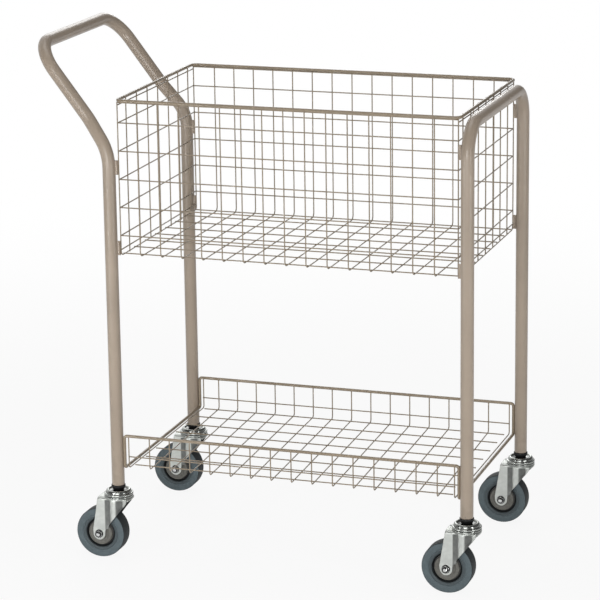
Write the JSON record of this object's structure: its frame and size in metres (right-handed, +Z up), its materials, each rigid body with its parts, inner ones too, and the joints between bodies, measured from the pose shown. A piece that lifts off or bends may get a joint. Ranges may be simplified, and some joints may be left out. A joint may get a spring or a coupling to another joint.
{
  "type": "wire basket trolley",
  "caption": "Free-standing push trolley with bent tube end frames, a deep wire basket above, a low wire tray below and trailing swivel casters.",
  "frame": {"origin": "on the floor under the middle of the overall width and of the four legs' rectangle", "axes": "+Z up, +X along the length to the front, away from the push bar, +Y to the left of the person who pushes"},
  "size_m": [0.8966, 0.4763, 1.0215],
  "materials": {
    "powder_coat": "semi-gloss light brown-grey powder coat",
    "zinc_plate": "bright zinc plate, softly reflecting",
    "bright_steel": "bright plated fastener steel",
    "black_plastic": "moulded black, slight sheen",
    "grey_plastic": "moulded mid grey",
    "grey_rubber": "matt blue-grey non-marking rubber"
  },
  "bodies": {
    "frame": {"handle_frame": "powder_coat", "front_frame": "powder_coat", "basket_rim": "powder_coat", "basket_side_left": "powder_coat", "basket_side_right": "powder_coat", "basket_floor": "powder_coat", "basket_end_front": "powder_coat", "basket_end_rear": "powder_coat", "basket_lug_upper_front_left": "powder_coat", "basket_lug_upper_front_right": "powder_coat", "basket_lug_upper_rear_left": "powder_coat", "basket_lug_upper_rear_right": "powder_coat", "basket_lug_lower_front_left": "powder_coat", "basket_lug_lower_front_right": "powder_coat", "basket_lug_lower_rear_left": "powder_coat", "basket_lug_lower_rear_right": "powder_coat", "tray_frame_rod": "powder_coat", "tray_floor": "powder_coat", "tray_side_left": "powder_coat", "tray_side_right": "powder_coat", "caster_front_left_collar": "black_plastic", "caster_front_left_stem": "bright_steel", "caster_front_left_head": "zinc_plate", "caster_front_right_collar": "black_plastic", "caster_front_right_stem": "bright_steel", "caster_front_right_head": "zinc_plate", "caster_rear_left_collar": "black_plastic", "caster_rear_left_stem": "bright_steel", "caster_rear_left_head": "zinc_plate", "caster_rear_right_collar": "black_plastic", "caster_rear_right_stem": "bright_steel", "caster_rear_right_head": "zinc_plate"},
    "caster_front_left_swivel": {"caster_front_left_fork": "zinc_plate", "caster_front_left_race": "zinc_plate", "caster_front_left_axle": "bright_steel", "caster_front_left_nut": "bright_steel", "caster_front_left_bush": "bright_steel"},
    "caster_front_left_wheel": {"caster_front_left_wheel_centre": "grey_plastic", "caster_front_left_tyre": "grey_rubber"},
    "caster_front_right_swivel": {"caster_front_right_fork": "zinc_plate", "caster_front_right_race": "zinc_plate", "caster_front_right_axle": "bright_steel", "caster_front_right_nut": "bright_steel", "caster_front_right_bush": "bright_steel"},
    "caster_front_right_wheel": {"caster_front_right_wheel_centre": "grey_plastic", "caster_front_right_tyre": "grey_rubber"},
    "caster_rear_left_swivel": {"caster_rear_left_fork": "zinc_plate", "caster_rear_left_race": "zinc_plate", "caster_rear_left_axle": "bright_steel", "caster_rear_left_nut": "bright_steel", "caster_rear_left_bush": "bright_steel"},
    "caster_rear_left_wheel": {"caster_rear_left_wheel_centre": "grey_plastic", "caster_rear_left_tyre": "grey_rubber"},
    "caster_rear_right_swivel": {"caster_rear_right_fork": "zinc_plate", "caster_rear_right_race": "zinc_plate", "caster_rear_right_axle": "bright_steel", "caster_rear_right_nut": "bright_steel", "caster_rear_right_bush": "bright_steel"},
    "caster_rear_right_wheel": {"caster_rear_right_wheel_centre": "grey_plastic", "caster_rear_right_tyre": "grey_rubber"}
  },
  "joints": [
    {"name": "caster_front_left_turn", "type": "hinge", "parent": "frame", "child": "caster_front_left_swivel", "pos_m": [0.41982, 0.209, 0.125], "axis": [0, 0, 1], "continuous": true},
    {"name": "caster_front_left_roll", "type": "hinge", "parent": "caster_front_left_swivel", "child": "caster_front_left_wheel", "pos_m": [0.38482, 0.209, 0.05], "axis": [0, 1, 0], "continuous": true},
    {"name": "caster_front_right_turn", "type": "hinge", "parent": "frame", "child": "caster_front_right_swivel", "pos_m": [0.41982, -0.209, 0.125], "axis": [0, 0, 1], "continuous": true},
    {"name": "caster_front_right_roll", "type": "hinge", "parent": "caster_front_right_swivel", "child": "caster_front_right_wheel", "pos_m": [0.38482, -0.209, 0.05], "axis": [0, 1, 0], "continuous": true},
    {"name": "caster_rear_left_turn", "type": "hinge", "parent": "frame", "child": "caster_rear_left_swivel", "pos_m": [-0.28618, 0.209, 0.125], "axis": [0, 0, 1], "continuous": true},
    {"name": "caster_rear_left_roll", "type": "hinge", "parent": "caster_rear_left_swivel", "child": "caster_rear_left_wheel", "pos_m": [-0.32118, 0.209, 0.05], "axis": [0, 1, 0], "continuous": true},
    {"name": "caster_rear_right_turn", "type": "hinge", "parent": "frame", "child": "caster_rear_right_swivel", "pos_m": [-0.28618, -0.209, 0.125], "axis": [0, 0, 1], "continuous": true},
    {"name": "caster_rear_right_roll", "type": "hinge", "parent": "caster_rear_right_swivel", "child": "caster_rear_right_wheel", "pos_m": [-0.32118, -0.209, 0.05], "axis": [0, 1, 0], "continuous": true}
  ]
}
